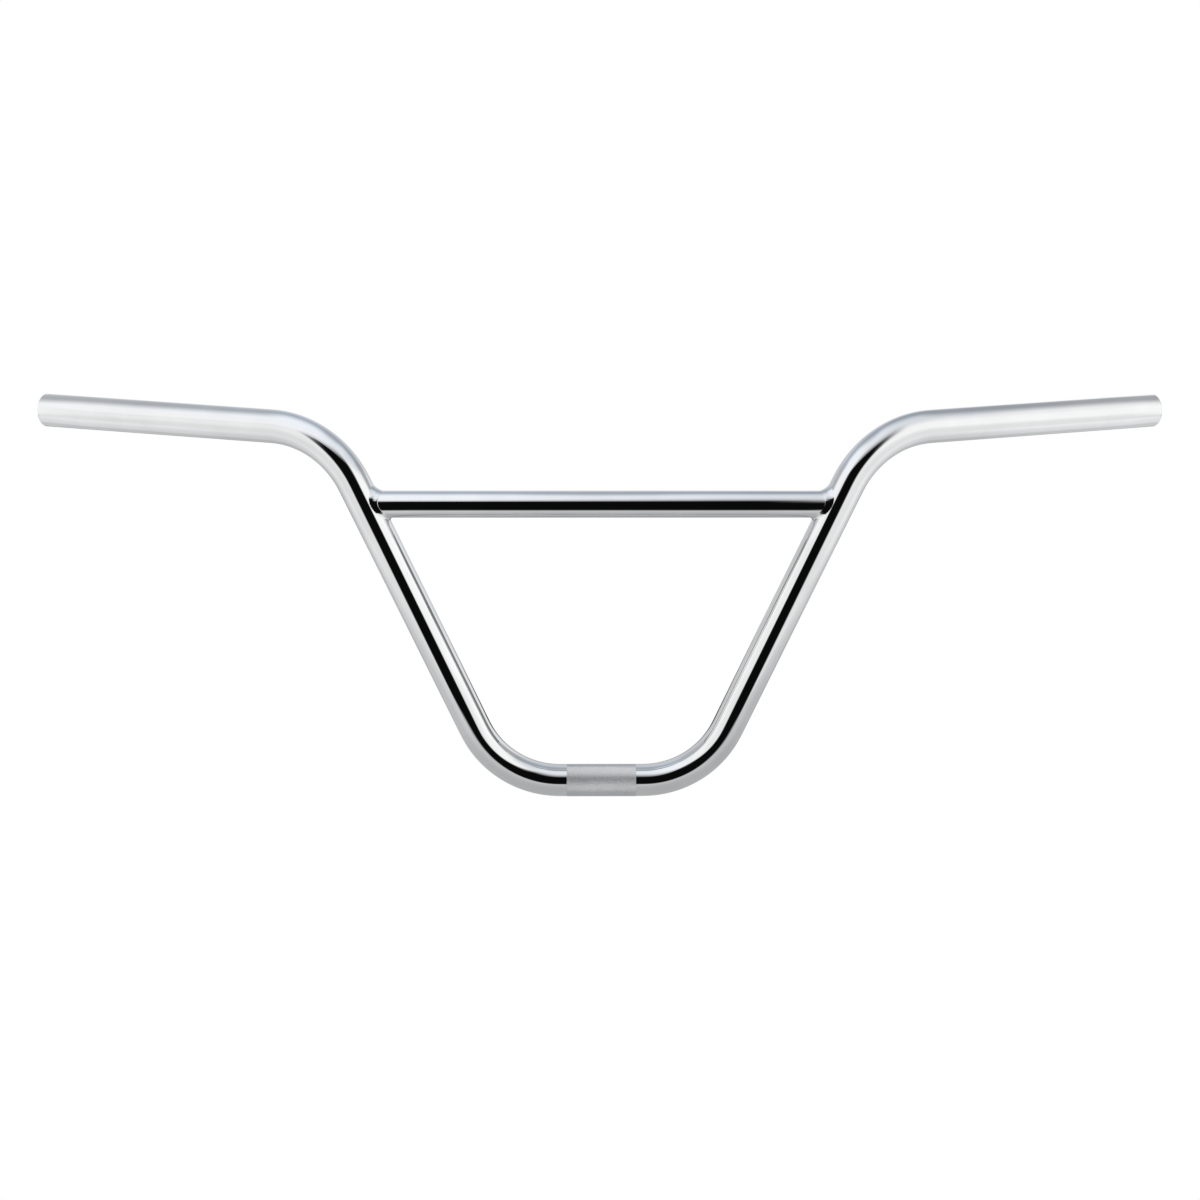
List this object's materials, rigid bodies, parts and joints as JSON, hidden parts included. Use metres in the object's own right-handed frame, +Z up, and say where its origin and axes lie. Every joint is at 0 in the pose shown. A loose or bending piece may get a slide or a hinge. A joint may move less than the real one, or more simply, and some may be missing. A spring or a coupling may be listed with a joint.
{
  "type": "bmx handlebar",
  "caption": "Bent-tube bicycle handlebar with tall slanted uprights, a straight crossbar welded between them, a knurled stem clamp and open grip ends, chrome plated.",
  "frame": {"origin": "middle of the stem clamp, on the centre line of the tube", "axes": "+X along the clamp to the right of the front view, +Y back towards the rider, +Z up as mounted with the uprights upright"},
  "size_m": [0.7638, 0.0606, 0.2756],
  "materials": {
    "plated_tube": "bright chrome plate on polished steel tube",
    "plated_weld": "chrome plate over a faintly rippled weld"
  },
  "bodies": {
    "root": {"main_tube": "plated_tube", "crossbar": "plated_tube", "crossbar_welds": "plated_weld"}
  },
  "joints": []
}
